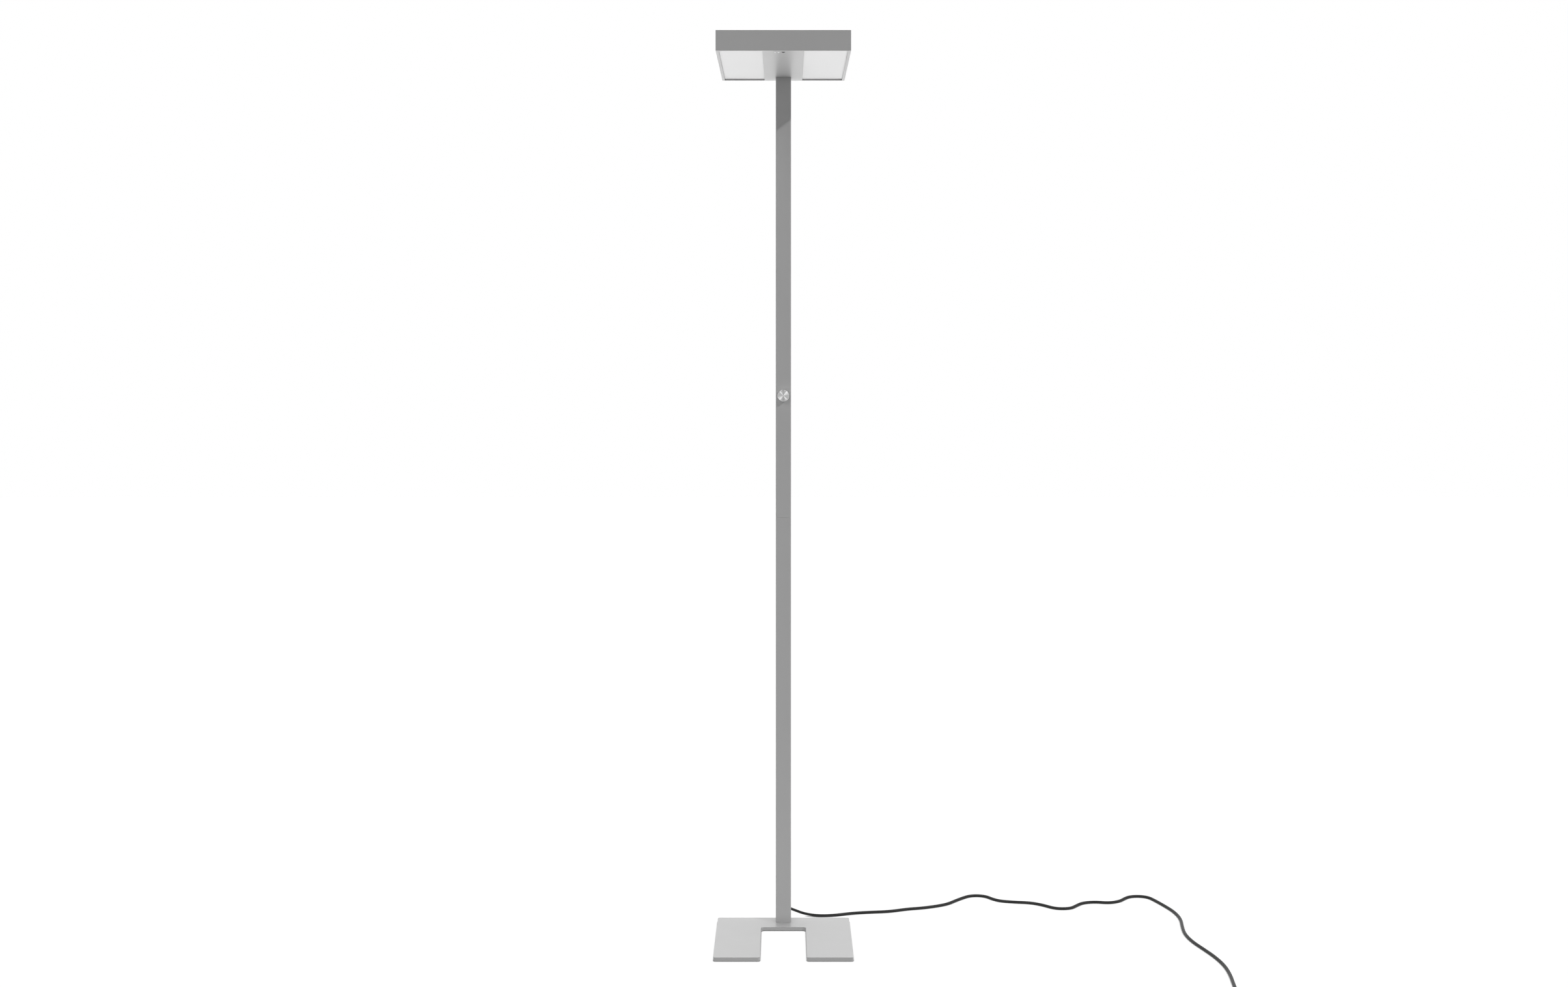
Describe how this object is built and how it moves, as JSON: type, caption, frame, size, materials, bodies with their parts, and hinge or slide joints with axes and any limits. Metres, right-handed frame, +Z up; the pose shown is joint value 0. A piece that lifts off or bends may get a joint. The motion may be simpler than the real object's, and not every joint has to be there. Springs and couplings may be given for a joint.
{
  "type": "office floor lamp",
  "caption": "Office floor lamp: U-shaped floor plate, square pole with a push-and-turn dimmer knob, and a flat rectangular head that lights down and up.",
  "frame": {"origin": "on the floor, under the middle of the lamp without its free mains lead", "axes": "+X to the right seen from the front, +Y to the back, +Z up"},
  "size_m": [1.0892, 0.908, 1.9681],
  "materials": {
    "silver_coat": "satin powder coat, silver grey",
    "chassis_coat": "white coat",
    "steel": "zinc plated",
    "aluminium": "plain",
    "turned_aluminium": "fine-turned face",
    "brass_plated": "nickel-plated bushing",
    "glide_rubber": "matt",
    "dark_plastic": "matt",
    "cord_sheath": "soft PVC, satin",
    "ribbon": "matt",
    "board": "white solder mask",
    "chip": "phosphor",
    "opal": "opal, satin",
    "white_plastic": "matt white",
    "clear_cover": "clear acrylic",
    "dark_lens": "glossy",
    "plug_metal": "nickel plated"
  },
  "bodies": {
    "lamp": {"base_plate": "silver_coat", "floor_glides": "glide_rubber", "base_screws": "steel", "foot_plug": "steel", "lower_pole_tube": "silver_coat", "upper_pole_tube": "silver_coat", "joint_sleeve": "aluminium", "joint_screws": "steel", "cable_gland": "dark_plastic", "pole_cable": "cord_sheath", "encoder_housing": "brass_plated", "encoder_nut": "steel", "encoder_board": "board", "control_ribbon": "ribbon", "head_frame": "silver_coat", "spine_cover": "silver_coat", "diffuser_left": "opal", "diffuser_right": "opal", "reflector_left": "white_plastic", "reflector_right": "white_plastic", "downlight_board_left": "board", "downlight_board_right": "board", "uplight_board_left": "board", "uplight_board_right": "board", "downlight_chips": "chip", "uplight_chips": "chip", "lower_corner_posts": "aluminium", "upper_corner_posts": "aluminium", "head_bracket": "aluminium", "pole_clamp_screws": "steel", "chassis_plate": "chassis_coat", "bracket_screws": "steel", "top_cover": "clear_cover", "driver": "white_plastic", "terminal_block": "white_plastic", "sensor_housing": "dark_plastic", "sensor_lens": "dark_lens", "indicator_lenses": "white_plastic", "cord_run": "cord_sheath", "cord_coil": "cord_sheath", "cord_tail": "cord_sheath", "cord_tie": "dark_plastic", "plug_body": "cord_sheath", "plug_pins": "plug_metal", "plug_earth_strips": "plug_metal"},
    "push_carriage": {"switch_plunger": "steel"},
    "knob": {"encoder_shaft": "steel", "knob_body": "turned_aluminium", "knob_face": "turned_aluminium"}
  },
  "joints": [
    {"name": "knob_push", "type": "slide", "parent": "lamp", "child": "push_carriage", "axis": [0, 1, 0], "range_m": [0, 0.0015], "stiffness_N_per_m": 2000, "springref_m": -0.001},
    {"name": "knob_turn", "type": "hinge", "parent": "push_carriage", "child": "knob", "pos_m": [0, 0.171, 1.2053], "axis": [0, 1, 0], "continuous": true}
  ]
}
